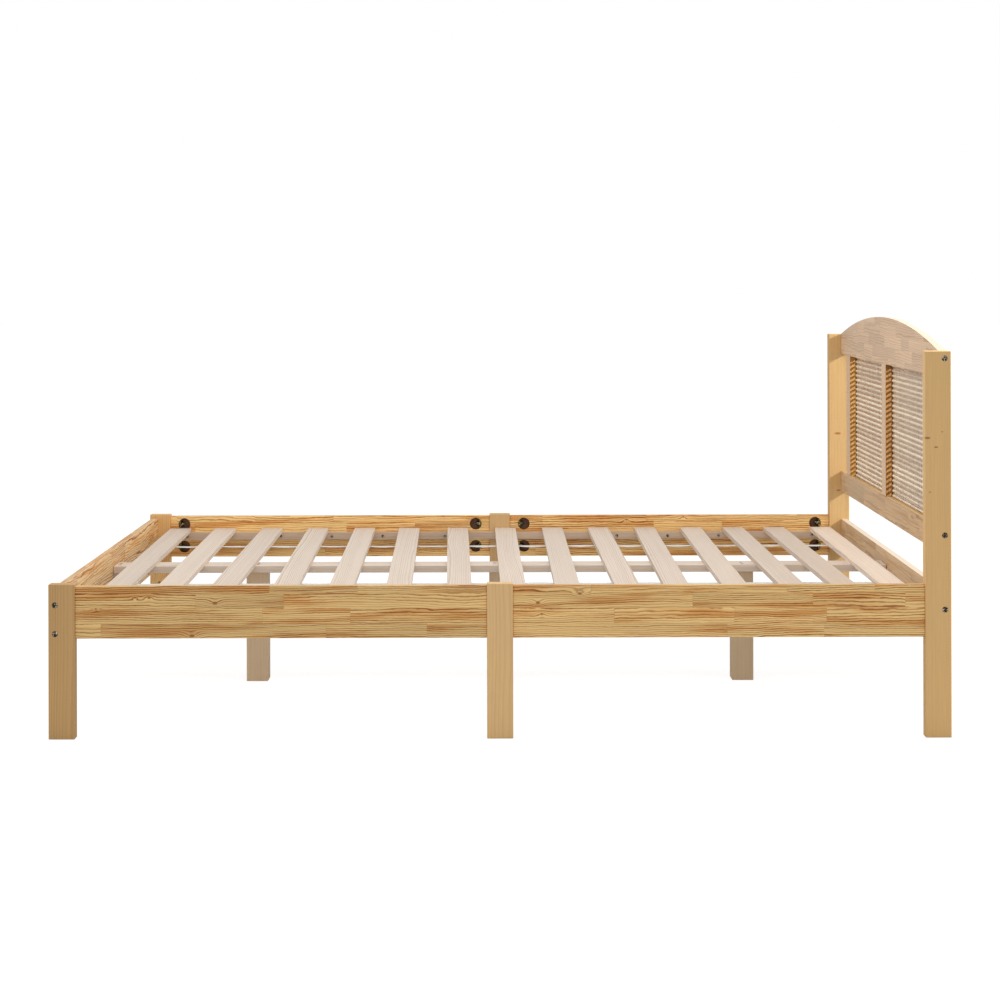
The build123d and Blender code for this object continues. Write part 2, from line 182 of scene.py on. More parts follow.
def noise(tree, vector, scale, detail=2.0, roughness=0.5):
    """Cloudy noise with a mean of about one half."""
    made = add(tree, "TexNoise")
    feed(tree, made.inputs["Vector"], vector)
    made.inputs["Scale"].default_value = scale
    made.inputs["Detail"].default_value = detail
    made.inputs["Roughness"].default_value = roughness
    return made.outputs["Fac"]


def paint(red, green, blue):
    """A colour as it shows on the screen, from 0 to 255, in the linear numbers that shaders use."""
    def linear(value):
        value = value / 255
        return value / 12.92 if value <= 0.04045 else ((value + 0.055) / 1.055) ** 2.4
    return (linear(red), linear(green), linear(blue), 1.0)


def new_group(name, takes, gives):
    """An empty node group. takes has its inputs' starting values, and gives its outputs' kinds."""
    tree = bpy.data.node_groups.new(name, "ShaderNodeTree")
    for label, start in takes.items():
        kind = "Float" if isinstance(start, float) else "Vector"
        socket = tree.interface.new_socket(label, in_out="INPUT", socket_type="NodeSocket" + kind)
        if start is not None:
            socket.default_value = start
    for label, kind in gives.items():
        tree.interface.new_socket(label, in_out="OUTPUT", socket_type="NodeSocket" + kind)
    return tree, tree.nodes.new("NodeGroupInput").outputs, tree.nodes.new("NodeGroupOutput").inputs


def place_group(tree, group, **values):
    """Puts a node group in a material and feeds its named inputs, with _ for a space."""
    made = tree.nodes.new("ShaderNodeGroup")
    made.node_tree = group
    for key, value in values.items():
        feed(tree, made.inputs[key.replace("_", " ")], value)
    return made.outputs


def new_material(name):
    """A material, with its node tree and its Principled shader."""
    material = bpy.data.materials.new(name)
    material.use_nodes = True
    return material, material.node_tree, material.node_tree.nodes["Principled BSDF"]


def raise_bumps(tree, shader, height, distance, strength=1.0):
    """Makes a surface look raised by up to a distance in metres, where height is large."""
    bump = add(tree, "Bump")
    bump.inputs["Strength"].default_value = strength
    bump.inputs["Distance"].default_value = distance
    feed(tree, bump.inputs["Height"], height)
    feed(tree, shader.inputs["Normal"], bump.outputs[0])


print("a screen colour of 200, 160, 100 is", [round(v, 3) for v in paint(200, 160, 100)[:3]], "to a shader")

# %% [markdown]
# ## Knots
# A knot is the root of a branch. The growth rings of the trunk part and flow round it, and the knot itself is
# darker, with small rings of its own. Most of the bed's knots are pinned where the real boards have them. This
# group measures one of them: how far it pushes the rings aside, and where its dark heart is.

# %% Node group for one knot
knot_group, taken, given = new_group(
    "One knot",
    {"Point": None, "Place": None, "Size": 0.004, "Shape": (0.6, 1.0, 0.3)},
    {"Push": "Float", "Heart": "Float"},
)
PUSH_REACH, PUSH_HEIGHT = 2.6, 1.8  # in sizes of the knot
KNOT_RINGS = 4200.0  # in radians per metre, which is a ring every 1.5 mm
do = partial(calc, knot_group)
away = vector_calc(knot_group, "SUBTRACT", taken["Point"], taken["Place"])
far = vector_calc(knot_group, "LENGTH", vector_calc(knot_group, "MULTIPLY", away, taken["Shape"]))
reach = do("DIVIDE", far, do("MULTIPLY", taken["Size"], PUSH_REACH))
bell = do("POWER", 2.718, do("MULTIPLY", do("MULTIPLY", reach, reach), -1.0))
feed(knot_group, given["Push"], do("MULTIPLY", bell, do("MULTIPLY", taken["Size"], PUSH_HEIGHT)))
heart = smooth_step(knot_group, do("DIVIDE", far, taken["Size"]), 1.1, 0.5)
own_rings = do("SINE", do("MULTIPLY", far, KNOT_RINGS))
feed(knot_group, given["Heart"], do("MULTIPLY", heart, do("MULTIPLY_ADD", own_rings, 0.15, 0.85)))
print(knot_group.name, "uses", len(knot_group.nodes), "nodes")

# %% [markdown]
# ## Finger-jointed blocks
# The rails are not sawn from one long plank. Short pine blocks are glued end to end and edge to edge into a
# board, so the tone and the grain change from block to block. The group gives every block its own random numbers,
# and a mask for the thin lines of the joints.

# %% Node group for glued blocks
block_group, taken, given = new_group(
    "Glued blocks",
    {"Point": None, "Seed": 0.0, "Length": 0.3, "Height": 0.04, "Start": 0.0},
    {"Chances": "Vector", "Tone": "Float", "Joint": "Float", "Across": "Float"},
)
END_LINE, SIDE_LINE = 0.7 * MM, 0.4 * MM
do = partial(calc, block_group)
parts = add(block_group, "SeparateXYZ", taken["Point"]).outputs
up = do("DIVIDE", do("SUBTRACT", parts[1], taken["Start"]), taken["Height"])
strip = do("FLOOR", up)
within = do("SUBTRACT", do("FRACT", up), 0.5)
feed(block_group, given["Across"], do("MULTIPLY", within, taken["Height"]))
strip_chance = add(block_group, "TexWhiteNoise", noise_dimensions="1D")
feed(block_group, strip_chance.inputs["W"], do("MULTIPLY_ADD", taken["Seed"], 17.3, strip))
along = do("DIVIDE", parts[0], taken["Length"])
along = do("MULTIPLY_ADD", strip_chance.outputs["Value"], 9.0, along)
swing = do("SINE", do("MULTIPLY", along, 2.3))
along = do("MULTIPLY_ADD", swing, 0.3, along)
cell = do("FLOOR", along)
spot = add(block_group, "CombineXYZ", cell, strip, taken["Seed"]).outputs[0]
chances = add(block_group, "TexWhiteNoise", spot, noise_dimensions="3D")
feed(block_group, given["Chances"], chances.outputs["Color"])
feed(block_group, given["Tone"], chances.outputs["Value"])


def line_mask(tree, value, size, width):
    """1 on a thin line where value crosses a whole number. size is one unit's length in metres."""
    part = calc(tree, "FRACT", value)
    edge = calc(tree, "MINIMUM", part, calc(tree, "SUBTRACT", 1.0, part))
    return smooth_step(tree, calc(tree, "MULTIPLY", edge, size), width, width * 0.3)


ends = line_mask(block_group, along, taken["Length"], END_LINE)
sides = line_mask(block_group, up, taken["Height"], SIDE_LINE)
feed(block_group, given["Joint"], do("MAXIMUM", ends, do("MULTIPLY", sides, 0.5)))
print(block_group.name, "uses", len(block_group.nodes), "nodes")

# %% [markdown]
# ## Growth rings
# Pine has pale wood grown in spring and dark wood grown in late summer, and each year adds one of both. A board
# cuts through those rings. So the pattern here is not painted on the faces: it is a trunk in space, with its
# pith somewhere behind the board and a slow wander in every ring. Wide loops on the face, straight lines on a
# narrow edge and arcs on the sawn end then all come from the same rings, and agree where they meet.

# %% Node group for growth rings
ring_group, taken, given = new_group(
    "Growth rings",
    {"Point": None, "Chances": None, "Push": 0.0, "Ring width": 0.004, "Waver": 0.004, "Pith depth": 0.06,
     "Pith spread": 0.1, "Pith offset": 0.0},
    {"Late wood": "Float", "Fibre": "Float", "Cloud": "Float", "Stain": "Float"},
)
SPREAD = (40.0, 40.0, 40.0)  # in metres: every board is cut from its own far-off place in the noise
GRAIN = {  # waves a metre along the fibres and across them, then the noise's detail and roughness
    "slow": (4.0, 16.0, 2.0, 0.5), "quick": (26.0, 90.0, 3.0, 0.5), "bend": (1.6, 0.0, 1.0, 0.5),
    "streak": (3.0, 46.0, 3.0, 0.6), "fibre": (14.0, 620.0, 3.0, 0.6), "cloud": (3.0, 22.0, 3.0, 0.6),
}
do = partial(calc, ring_group)
luck = add(ring_group, "SeparateXYZ", taken["Chances"]).outputs
moved = add(ring_group, "VectorMath", taken["Chances"], SPREAD, taken["Point"], operation="MULTIPLY_ADD").outputs[0]


def grained(kind):
    """Noise that is drawn out along the fibres."""
    along, across, detail, roughness = GRAIN[kind]
    return noise(ring_group, scale_axes(ring_group, moved, along, across, across), 1.0, detail, roughness)


slow, quick, bend = grained("slow"), grained("quick"), grained("bend")
place = add(ring_group, "SeparateXYZ", taken["Point"]).outputs
side_chance = do("SUBTRACT", luck[0], 0.5)
side_step = do("MULTIPLY", do("SIGN", side_chance), taken["Pith offset"])
side_step = do("MULTIPLY_ADD", side_chance, taken["Pith spread"], side_step)
side_step = do("MULTIPLY_ADD", do("SUBTRACT", bend, 0.5), 0.03, side_step)
across = do("SUBTRACT", place[1], side_step)
depth = do("MULTIPLY", taken["Pith depth"], do("MULTIPLY_ADD", luck[1], 1.2, 0.5))
through = do("ADD", place[2], depth)
flat = add(ring_group, "CombineXYZ", across, through, 0.0).outputs[0]
radius = vector_calc(ring_group, "LENGTH", flat)
drift = do("MULTIPLY", do("SUBTRACT", slow, 0.5), taken["Waver"])
shiver = do("MULTIPLY", do("SUBTRACT", quick, 0.5), do("MULTIPLY", taken["Waver"], 0.4))
radius = do("ADD", do("ADD", radius, taken["Push"]), do("ADD", drift, shiver))
years = do("DIVIDE", radius, taken["Ring width"])
season = ramp(ring_group, do("FRACT", years), (0.0, 0.0), (0.5, 0.12), (0.80, 0.95), (0.92, 0.85), (1.0, 0.0))
year_chance = add(ring_group, "TexWhiteNoise", noise_dimensions="1D")
feed(ring_group, year_chance.inputs["W"], do("MULTIPLY_ADD", luck[2], 90.0, do("FLOOR", years)))
strength = do("MULTIPLY_ADD", year_chance.outputs["Value"], 0.6, 0.4)
feed(ring_group, given["Stain"], smooth_step(ring_group, grained("streak"), 0.46, 0.64))
feed(ring_group, given["Late wood"], do("MULTIPLY", season, strength))
feed(ring_group, given["Fibre"], grained("fibre"))
feed(ring_group, given["Cloud"], grained("cloud"))
print(ring_group.name, "uses", len(ring_group.nodes), "nodes")

# %% [markdown]
# ## Pine
# One function turns those groups into a material. It turns the board so that the grain runs along X, Y or Z, and
# mixes the pale and the dark wood. Each board brings its own number, "board", as a property on its object, so
# that one material gives every board its own piece of trunk. The wood has a soft satin oil: it is a little rougher
# where its fibres stand up, and the late wood lies a hair lower.

# %% A function for pine materials
TURNS = {"X": (0, 2, 1), "Y": (1, 2, 0), "Z": (2, 0, 1), "deck": (1, 0, 2)}


def pine(name, grain, pale, dark, heart=(120, 72, 36), blocks=None, ring=0.004, waver=0.004, contrast=0.6,
         tones=0.12, cloud=0.1, pith=0.06, spread=0.1, offset=0.0, stain=0.0, stained=(206, 142, 68), knots=(),
         knot_shape=(0.6, 1.0, 0.3)):
    """A pine material. grain is the direction of the fibres, and blocks the length and height of glued blocks."""
    material, tree, shader = new_material(name)
    do = partial(calc, tree)
    here = add(tree, "TexCoord").outputs["Object"]
    board, middle, deep, lean, tone_and_light_step = (
        add(tree, "Attribute", attribute_type="OBJECT", attribute_name=label).outputs["Fac"]
        for label in ("board", "middle", "deep", "lean", "tone"))
    sides = add(tree, "SeparateXYZ", here).outputs
    sides = [sides[i] for i in TURNS[grain]]
    point = add(tree, "CombineXYZ", *sides).outputs[0]
    across = do("SUBTRACT", do("SUBTRACT", sides[1], middle), do("MULTIPLY", sides[0], lean))
    if blocks:
        made = place_group(tree, block_group, Point=point, Seed=board, Length=blocks[0], Height=blocks[1],
                           Start=blocks[2])
        luck, tone, joint, across = made["Chances"], made["Tone"], made["Joint"], made["Across"]
    else:
        own = add(tree, "TexWhiteNoise", noise_dimensions="1D")
        feed(tree, own.inputs["W"], board)
        luck, tone, joint = own.outputs["Color"], own.outputs["Value"], None
    push = core = None
    for knot in knots:
        knot = place_group(tree, knot_group, Point=point, Place=[knot[i] * MM for i in TURNS[grain]],
                           Size=knot[3] * MM, Shape=knot_shape)
        push = knot["Push"] if push is None else do("ADD", push, knot["Push"])
        core = knot["Heart"] if core is None else do("MAXIMUM", core, knot["Heart"])
    local = add(tree, "CombineXYZ", sides[0], across, do("SUBTRACT", sides[2], deep)).outputs[0]
    rings = place_group(tree, ring_group, Point=local, Chances=luck, Push=push, Ring_width=ring, Waver=waver,
                        Pith_depth=pith, Pith_spread=spread, Pith_offset=offset)
    late = do("MULTIPLY", rings["Late wood"], contrast)
    early = paint(*pale)
    if stain:
        strong = do("MULTIPLY", rings["Stain"], stain)
        early = mix_colour(tree, strong, early, paint(*stained))
        late = do("MULTIPLY_ADD", do("MULTIPLY", late, strong), 0.7, late)
    colour = mix_colour(tree, late, early, paint(*dark))
    # The board's step in brightness is added here; on most boards that step is painted light and shade.
    shade = do("ADD", do("MULTIPLY_ADD", tone, 2 * tones, 1 - tones), tone_and_light_step)
    shade = do("MULTIPLY", shade, do("MULTIPLY_ADD", rings["Cloud"], 2 * cloud, 1 - cloud))
    shade = do("MULTIPLY", shade, do("MULTIPLY_ADD", rings["Fibre"], 0.24, 0.88))
    if joint is not None:
        shade = do("MULTIPLY", shade, do("MULTIPLY_ADD", joint, -0.14, 1.0))
    colour = shade_colour(tree, colour, shade)
    if core is not None:
        colour = mix_colour(tree, core, colour, paint(*heart))
    feed(tree, shader.inputs["Base Color"], colour)
    feed(tree, shader.inputs["Roughness"], do("MULTIPLY_ADD", rings["Fibre"], 0.25, 0.38))
    relief = do("SUBTRACT", do("MULTIPLY", rings["Fibre"], 0.7), late)
    raise_bumps(tree, shader, relief, 0.3 * MM, 0.35)
    return material


print("a slat's grain runs along Y, so its board point is built from the parts", TURNS["deck"])

# %% [markdown]
# The bed has four kinds of pine. The side and foot rails are strong golden boards of large blocks. The posts
# are one straight-grained piece each. The boards of the headboard are paler and pinker, of short blocks with a
# soft figure. The slats, the beam and its legs are bare, almost white wood.

# %% The four kinds of pine
GOLD = dict(pale=(241, 204, 137), dark=(146, 82, 24), heart=(150, 88, 36), ring=0.0038, waver=0.010, contrast=1.15,
            tones=0.07, cloud=0.18, pith=0.045, spread=0.05, offset=0.030, stain=0.85, stained=(216, 152, 74))
POST = dict(pale=(208, 170, 114), dark=(160, 114, 64), ring=0.0048, waver=0.003, contrast=0.45, tones=0.03,
            cloud=0.05, pith=0.05, spread=0.03, offset=0.03)
HEAD = dict(pale=(222, 192, 161), dark=(170, 128, 90), ring=0.0031, waver=0.007, contrast=0.68, tones=0.10,
            cloud=0.18, pith=0.05, spread=0.06, offset=0.015)
LOWER = dict(HEAD, pale=(218, 186, 146), dark=(150, 106, 62), contrast=0.7, stain=0.45, stained=(190, 146, 96))
BARE = dict(pale=(225, 209, 194), dark=(166, 136, 110), ring=0.0034, waver=0.0035, contrast=0.58, tones=0.035,
            cloud=0.08, pith=0.03, spread=0.04, offset=0.035)
SHADE = dict(ring=0.004, waver=0.004, tones=0.02, cloud=0.2, offset=0.04)
RAIL_KNOTS = [  # each knot's place and size in mm
    (-706, -719, 236, 4.5), (-836.5, -719, 323, 1.8), (-804, -719, 323, 2.6), (-653, -719, 310.5, 4.2),
    (-926, -719, 298, 2.2), (87, -719, 310, 3.6), (183, -719, 331, 3.6), (96, -719, 284, 2.6), (543, 701, 344, 2.4),
    (375, 701, 336.5, 3.0),
]
POST_KNOTS = [
    (979, -725, 686, 4.2), (999, -725, 665, 2.8), (985, -725, 562, 1.8), (1013, -725, 700, 1.6),
    (1000, 695, 591, 5.6), (1002, 695, 423, 4.0),
]
FOOT_KNOTS = [(-1007, 695, 155, 4.2)]

finishes = {
    "rail_x": pine("golden pine along X", "X", blocks=(0.33, 0.035, 0.228), knots=RAIL_KNOTS, **GOLD),
    "rail_y": pine("golden pine along Y", "Y", blocks=(0.33, 0.05, 0.195),
                   **dict(GOLD, pale=(234, 198, 146), dark=(156, 100, 48))),
    "post": pine("head post pine", "Z", knots=POST_KNOTS, knot_shape=(1.3, 0.5, 0.3),
                 **dict(POST, contrast=0.13, heart=(158, 96, 48))),
    "foot": pine("foot post pine", "Z", knots=FOOT_KNOTS, knot_shape=(1.0, 0.8, 0.3),
                 **dict(POST, pale=(202, 162, 106))),
    "leg": pine("middle leg pine", "Z", **dict(POST, pale=(229, 190, 134), dark=(184, 140, 88), contrast=0.35)),
    "head_y": pine("headboard pine along Y", "Y", blocks=(0.16, 0.03, 0.42), **HEAD),
    "low_y": pine("lower headboard pine along Y", "Y", blocks=(0.22, 0.05, 0.42), **LOWER),
    "head_z": pine("headboard pine along Z", "Z", **HEAD),
    # The sides of the stiles and of the mullion get painted shade: darker, more golden copies of the headboard pine,
    # darkest on the mullion.
    "reveal": pine("golden edge of the headboard", "Z", **dict(HEAD, pale=(166, 122, 62), dark=(132, 92, 40))),
    "reveal_mid": pine("golden edge of the mullion", "Z", **dict(HEAD, pale=(134, 93, 44), dark=(108, 72, 28))),
    # The top faces of the arch rail and the head rail get a paler painted highlight. The top of the lower rail gets a
    # darker golden painted shade.
    "cream": pine("cream top edge", "Y",
                  **dict(HEAD, pale=(208, 192, 172), dark=(190, 168, 142), contrast=0.4, cloud=0.04)),
    "sill": pine("golden sill", "Y", **dict(HEAD, pale=(196, 160, 110), dark=(160, 120, 74))),
    "bare_x": pine("bare pine along X", "X", **BARE),
    "cleat": pine("cleat pine along X", "X",
                  **dict(BARE, pale=(206, 182, 160), dark=(140, 108, 84), cloud=0.25, contrast=0.7)),
    "bare_z": pine("centre leg pine", "Z", **dict(BARE, pale=(220, 197, 166), dark=(176, 146, 112), contrast=0.5)),
    "deck": pine("bare slat pine", "deck", **BARE),
    # The walls and floors of the pockets are painted shade, darker than the rails' pine.
    "pocket_wall_shade": pine("shade in a pocket", "X", pale=(66, 41, 24), dark=(42, 24, 12), **SHADE),
    "pocket_floor_shade": pine("floor of a pocket", "X", pale=(120, 82, 52), dark=(88, 56, 34), **SHADE),
}
print("pine finishes:", ", ".join(finishes))

# %% [markdown]
# ## Boards with eased edges
# A planed board never has a knife edge: its arrises are eased with a pass of sandpaper, and that thin round edge
# catches the light. The frame's boards have sharp edges, so each one is shown as a copy of itself with its long
# outer edges rounded. Joints, holes and tenons stay exactly as they are, because they are cut to fit.

# %% Ease the edges of a board
def is_outer(point, low, high):
    """Which of a point's three places lie on the faces of the board's own box."""
    return tuple(min(abs(point[i] - low[i]), abs(point[i] - high[i])) < 1e-5 for i in range(3))


def eased_board(node, radius):
    """A copy of a board, as a bmesh, with the edges rounded that lie on two faces of its box."""
    shape = bmesh.new()
    shape.from_mesh(nodes[node].data)
    bmesh.ops.remove_doubles(shape, verts=shape.verts, dist=1e-6)
    bmesh.ops.dissolve_limit(shape, angle_limit=math.radians(0.5), verts=shape.verts, edges=shape.edges)
    low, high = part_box(node)
    chosen = []
    for edge in shape.edges:
        sticks_out = len(edge.link_faces) == 2 and edge.calc_face_angle_signed(0.0) >= math.radians(60)
        a, b = (is_outer(v.co, low, high) for v in edge.verts)
        if sticks_out and sum(x and y for x, y in zip(a, b)) >= 2:
            chosen.append(edge)
    bmesh.ops.bevel(shape, geom=chosen, offset=radius, segments=3, profile=0.5, affect="EDGES", clamp_overlap=True)
    return shape


def new_piece(name, shape, finish, slot, *replaced, smooth=35):
    """Makes an object of a bmesh, with its finish and what it stands for. slot is not used."""
    mesh = bpy.data.meshes.new(name)
    shape.to_mesh(mesh)
    shape.free()
    mesh.polygons.foreach_set("use_smooth", [True] * len(mesh.polygons))
    mesh.set_sharp_from_angle(angle=math.radians(smooth))
    piece = bpy.data.objects.new(name, mesh)
    scene.collection.objects.link(piece)
    mesh.materials.append(finish)
    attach(piece, "root")
    if replaced:
        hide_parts(*replaced)
    return piece


def slat_line(node, y):
    """Where the middle of a slat is along the bed, at one distance across it."""
    ends = [np.mean([v.co for v in nodes[node].data.vertices if v.co.y * way > 0], axis=0) for way in (-1, 1)]
    share = (y - ends[0][1]) / (ends[1][1] - ends[0][1])
    return ends[0][0] * (1 - share) + ends[1][0] * share


def mark_board(piece, node, grain, tone=0.0):
    """Notes on a board what its material needs: its own chance, its middle, how far it leans and its tone, a step in
    brightness that on most boards is painted light and shade.
    """
    low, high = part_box(node)
    middle = (low + high) / 2
    piece["board"] = chance.uniform(1, 99)
    piece["middle"] = middle[TURNS[grain][1]]
    piece["deep"] = middle[TURNS[grain][2]]
    piece["lean"] = float(slat_line(node, 1) - slat_line(node, 0)) if grain == "deck" else 0.0
    piece["tone"] = tone


# Steps in the brightness of single boards. Most are painted light and shade: slat_15 is painted as lit, the beam
# blocks as shaded, and the posts, legs and rails lighter or darker by how the light falls on them. Some are partly
# the boards' own tone.
TONE_AND_PAINTED_LIGHT = {
    "foot_post_left": 0.38, "foot_post_right": 0.03, "head_post_left": -0.05, "head_post_right": 0.24,
    "middle_leg_left": -0.08, "middle_leg_right": 0.04, "centre_leg_foot": 0.07, "centre_leg_head": -0.01,
    "foot_rail": 0.13, "side_rail_left_foot": 0.21, "side_rail_left_head": 0.18, "side_rail_right_head": 0.12,
    "slat_15": 0.17, "beam_block_foot": -0.3, "beam_block_head": -0.3,
}
boards = {  # the grain, the slot, the radius of the edges and how the nodes' names start
    "rail_x": ("X", "pine_rail", 1.5, ("side_rail_left", "side_rail_right")),
    "rail_y": ("Y", "pine_rail", 1.5, ("foot_rail",)),
    "post": ("Z", "pine_post", 2.0, ("head_post",)),
    "foot": ("Z", "pine_post", 2.0, ("foot_post",)),
    "leg": ("Z", "pine_post", 2.0, ("middle_leg_left", "middle_leg_right")),
    "head_y": ("Y", "headboard_board", 1.5, ("headboard_arch_rail",)),
    "low_y": ("Y", "headboard_board", 1.5, ("headboard_lower_rail", "head_rail")),
    "head_z": ("Z", "headboard_board", 1.2, ("headboard_stile", "headboard_mullion")),
    "bare_x": ("X", "slat_wood", 1.0, ("beam_foot", "beam_head", "beam_block")),
    "cleat": ("X", "slat_wood", 1.0, ("slat_cleat",)),
    "bare_z": ("Z", "slat_wood", 1.5, ("centre_leg",)),
    "deck": ("deck", "slat_wood", 1.2, ("slat_0", "slat_1")),
}


def members(finish):
    """The boards that share a finish."""
    return sorted(n for n in nodes if n.startswith(boards[finish][3]))


for finish, (grain, slot, radius, _) in boards.items():
    for node in members(finish):
        piece = new_piece(node + "_eased", eased_board(node, radius * MM), finishes[finish], slot, node)
        mark_board(piece, node, grain, TONE_AND_PAINTED_LIGHT.get(node, 0.0))
        piece.modifiers.new("even shading", "WEIGHTED_NORMAL").keep_sharp = True
    print(finish, slot, len(members(finish)), "boards:", ", ".join(members(finish))[:80])

# %% [markdown]
# Some faces of a board get a finish of their own, and each of these paints light or shade. The round pockets in
# the side rails are deep, and their walls and floors get painted shade. The sides of the upright boards in the
# headboard get painted shade, darker and more golden than their fronts. The upper edges of the arch rail and the
# head rail get a paler painted highlight, and the top of the lower rail a darker golden painted shade.

# %% Faces with painted light and shade
POCKETS = [(x * end, z) for x in (0.071, 0.933) for end in (-1, 1) for z in (0.260, 0.326)]
POCKET_REACH = 17.7 * MM  # just over the radius of a pocket
ACROSS, UPWARD = 0.7, 0.6  # how much of a normal has to point along Y or up


def in_pocket(mesh, face):
    """Whether every corner of a face lies in one of the pockets."""
    corners = [mesh.vertices[i].co for i in face.vertices]
    return any(all(math.hypot(c.x - x, c.z - z) < POCKET_REACH for c in corners) for x, z in POCKETS)


def refinish(node, names, pick):
    """Adds finishes to a board. pick gives a face's finish, counted from 1, or 0 for the board's own."""
    mesh = bpy.data.objects[node + "_eased"].data
    for name in names:
        mesh.materials.append(finishes[name])
    for face in mesh.polygons:
        face.material_index = int(pick(mesh, face))


# Faces inside a pocket get painted shade.
for node in members("rail_x"):
    refinish(node, ("pocket_wall_shade", "pocket_floor_shade"),
             lambda mesh, face: in_pocket(mesh, face) and 1 + (abs(face.normal.y) > ACROSS))
# Faces of the stiles and mullion that point along Y get the painted shade.
for node in members("head_z"):
    refinish(node, ["reveal_mid" if "mullion" in node else "reveal"], lambda mesh, face: abs(face.normal.y) > ACROSS)
# Faces that point up get the painted highlight, or on the lower rail the painted shade.
for node in members("head_y") + members("low_y"):
    refinish(node, ["sill" if node == "headboard_lower_rail" else "cream"], lambda mesh, face: face.normal.z > UPWARD)
print("the headboard's inner sides and upper edges have painted shade and highlight")

# %% [markdown]
# ## Meshes from rows of points
# The cane, the threads and the tape are all the same kind of shape: a row of closed outlines, with faces between
# one outline and the next. One helper joins such rows into a mesh, and another gathers many into a single piece.

# %% Rows of outlines into meshes
class Pile:
    """Gathers many small shapes into one mesh."""

    def __init__(self):
        self.points, self.faces, self.count = [], [], 0

    def rows(self, rows, capped=True):
        """rows is an array of outlines x points x 3. Caps close the first and the last outline."""
        rows = np.asarray(rows, float)
        outlines, sides = rows.shape[:2]
        start = self.count + np.arange(outlines - 1)[:, None] * sides
        here = np.arange(sides)[None, :]
        after = (here + 1) % sides
        quads = np.stack([start + here, start + after, start + sides + after, start + sides + here], -1)
        self.faces += quads.reshape(-1, 4).tolist()
        if capped:
            last = self.count + (outlines - 1) * sides
            self.faces += [list(range(self.count, self.count + sides))[::-1], list(range(last, last + sides))]
        self.points.append(rows.reshape(-1, 3))
        self.count += outlines * sides

    def piece(self, name, finish, slot, *replaced, smooth=40):
        """Makes the object."""
        shape = bmesh.new()
        mesh = bpy.data.meshes.new("pile")
        mesh.from_pydata(np.concatenate(self.points).tolist(), [], self.faces)
        shape.from_mesh(mesh)
        bpy.data.meshes.remove(mesh)
        bmesh.ops.recalc_face_normals(shape, faces=shape.faces)
        return new_piece(name, shape, finish, slot, *replaced, smooth=smooth)


def strand(path, wide, thick, side, sides=8, power=1.0):
    """Outlines of a cane along a path. side is the direction of its width, and wide and thick its two half sizes."""
    path = np.asarray(path, float)
    run = np.gradient(path, axis=0)
    run /= np.linalg.norm(run, axis=1)[:, None]
    side = np.broadcast_to(np.asarray(side, float), path.shape)
    up = np.cross(run, side)
    up /= np.linalg.norm(up, axis=1)[:, None]
    turn = np.arange(sides) * 2 * np.pi / sides + np.pi / sides
    c, s = np.cos(turn), np.sin(turn)
    c, s = np.sign(c) * abs(c) ** power, np.sign(s) * abs(s) ** power
    wide, thick = (np.broadcast_to(np.asarray(v, float), len(path))[:, None, None] for v in (wide, thick))
    return path[:, None] + side[:, None] * c[None, :, None] * wide + up[:, None] * s[None, :, None] * thick


straight = strand([(0, 0, 0), (0, 1, 0), (0, 2, 0)], 1, 1, (1, 0, 0))
print("a strand of 3 points and 8 sides has outlines of", straight.shape)

# %% [markdown]
# ## Cane
# Rattan cane is the skin or the core of a climbing palm. It is cream to straw brown, shines a little, and each
# strand has its own tint. The level ribs are tinted pale and the upright strands behind them dark: partly each
# strand's own tint, partly a painted highlight on the ribs and painted shade between them. A strand's number is
# kept in the mesh as an attribute, "strand", so that one material can tint every strand by itself.

# %% Cane material
def cane(name, pale, deep):
    """A cane material with a tint of its own for each strand and fine fibres."""
    material, tree, shader = new_material(name)
    do = partial(calc, tree)
    here = add(tree, "TexCoord").outputs["Object"]
    own = add(tree, "Attribute", attribute_type="GEOMETRY", attribute_name="strand").outputs["Fac"]
    mottle = noise(tree, here, 160.0, 3.0, 0.6)
    fibre = noise(tree, scale_axes(tree, here, 900.0, 60.0, 900.0), 1.0, 2.0)
    share = do("ADD", own, do("MULTIPLY", mottle, 0.5))
    share = do("ADD", share, do("MULTIPLY", fibre, 0.25))
    share = smooth_step(tree, share, 0.35, 1.20)
    feed(tree, shader.inputs["Base Color"], mix_colour(tree, share, paint(*pale), paint(*deep)))
    feed(tree, shader.inputs["Roughness"], do("MULTIPLY_ADD", fibre, 0.3, 0.32))
    raise_bumps(tree, shader, fibre, 0.2 * MM, 0.4)
    return material


rattan_look = cane("rattan cane", (255, 245, 222), (146, 101, 57))
print(rattan_look.name, "is ready")

# %% [markdown]
# ## The woven panels
# Each opening of the headboard holds a mat of cane. Stout round canes lie level, 13.2 mm apart, and make the ribs
# that catch the light. Flat strands of split cane stand upright behind them, and a thin tie of cane goes round
# each rib at every second strand. Seen almost edge on, as in the picture, the strands close up and hide what is
# behind. Light that comes through squarely passes between them. Under the boards the whole mat is pressed flat
# between the frame and the battens, which is how it is held.

# %% Weave the panels
RIB_PITCH, RIB_RADIUS, RIB_FORWARD = 13.2 * MM, 2.9 * MM, 1.2 * MM
FLAT_HALF = 0.9 * MM  # half the thickness of a rib where it is pressed flat
UPRIGHT_PITCH, UPRIGHT_BACK = 6.6 * MM, 1.45 * MM
TIE_RADIUS = RIB_RADIUS * 1.07 + 0.2 * MM
LAP, RIM = 21 * MM, 15 * MM  # how far the mat, and its outermost ribs, reach under the boards


def squeeze(places, low, high):
    """1 inside the opening, falling to 0 where the mat passes between board and batten."""
    inside = np.minimum(places - low - LAP, high - LAP - places)
    return np.clip(inside / (3 * MM), 0, 1)


